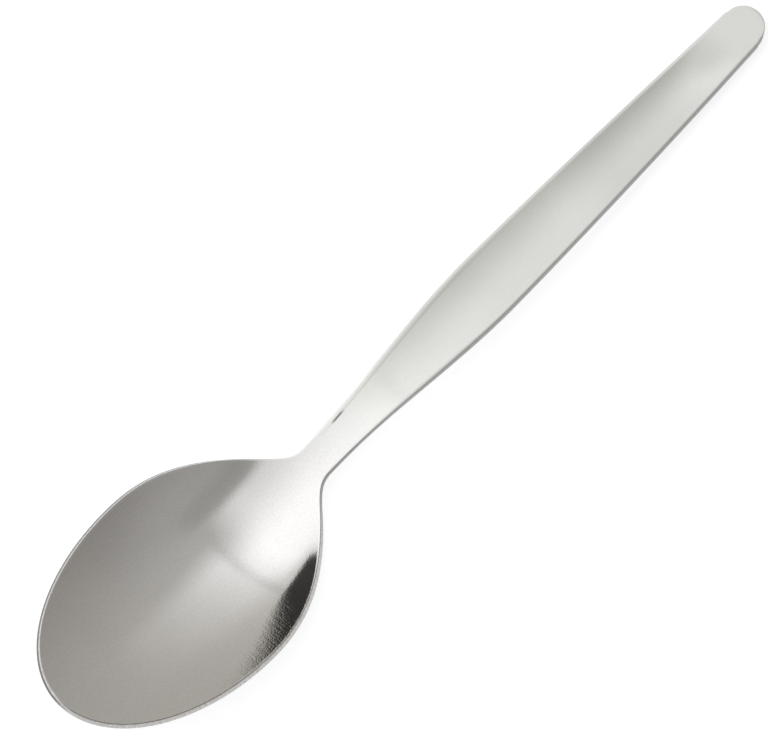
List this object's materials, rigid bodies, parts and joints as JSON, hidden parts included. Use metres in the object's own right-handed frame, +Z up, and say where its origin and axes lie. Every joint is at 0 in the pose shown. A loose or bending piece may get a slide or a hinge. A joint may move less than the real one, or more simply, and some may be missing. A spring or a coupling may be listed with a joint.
{
  "type": "coffee spoon",
  "caption": "Plain stamped stainless steel coffee spoon: a shallow egg-shaped bowl on a flat tapered handle with a round end, for stirring and measuring small drinks.",
  "frame": {"origin": "the point under the bowl where the spoon rests on a table", "axes": "+X along the spoon from the bowl to the handle's end, +Y to the left when looking along +X, +Z up with the bowl open upwards"},
  "size_m": [0.11, 0.0244, 0.0097],
  "materials": {
    "satin_steel": "satin polished stainless steel, slightly warm grey, with fine polishing lines and burnished blanked edges"
  },
  "bodies": {
    "root": {"bowl": "satin_steel", "handle": "satin_steel"}
  },
  "joints": []
}
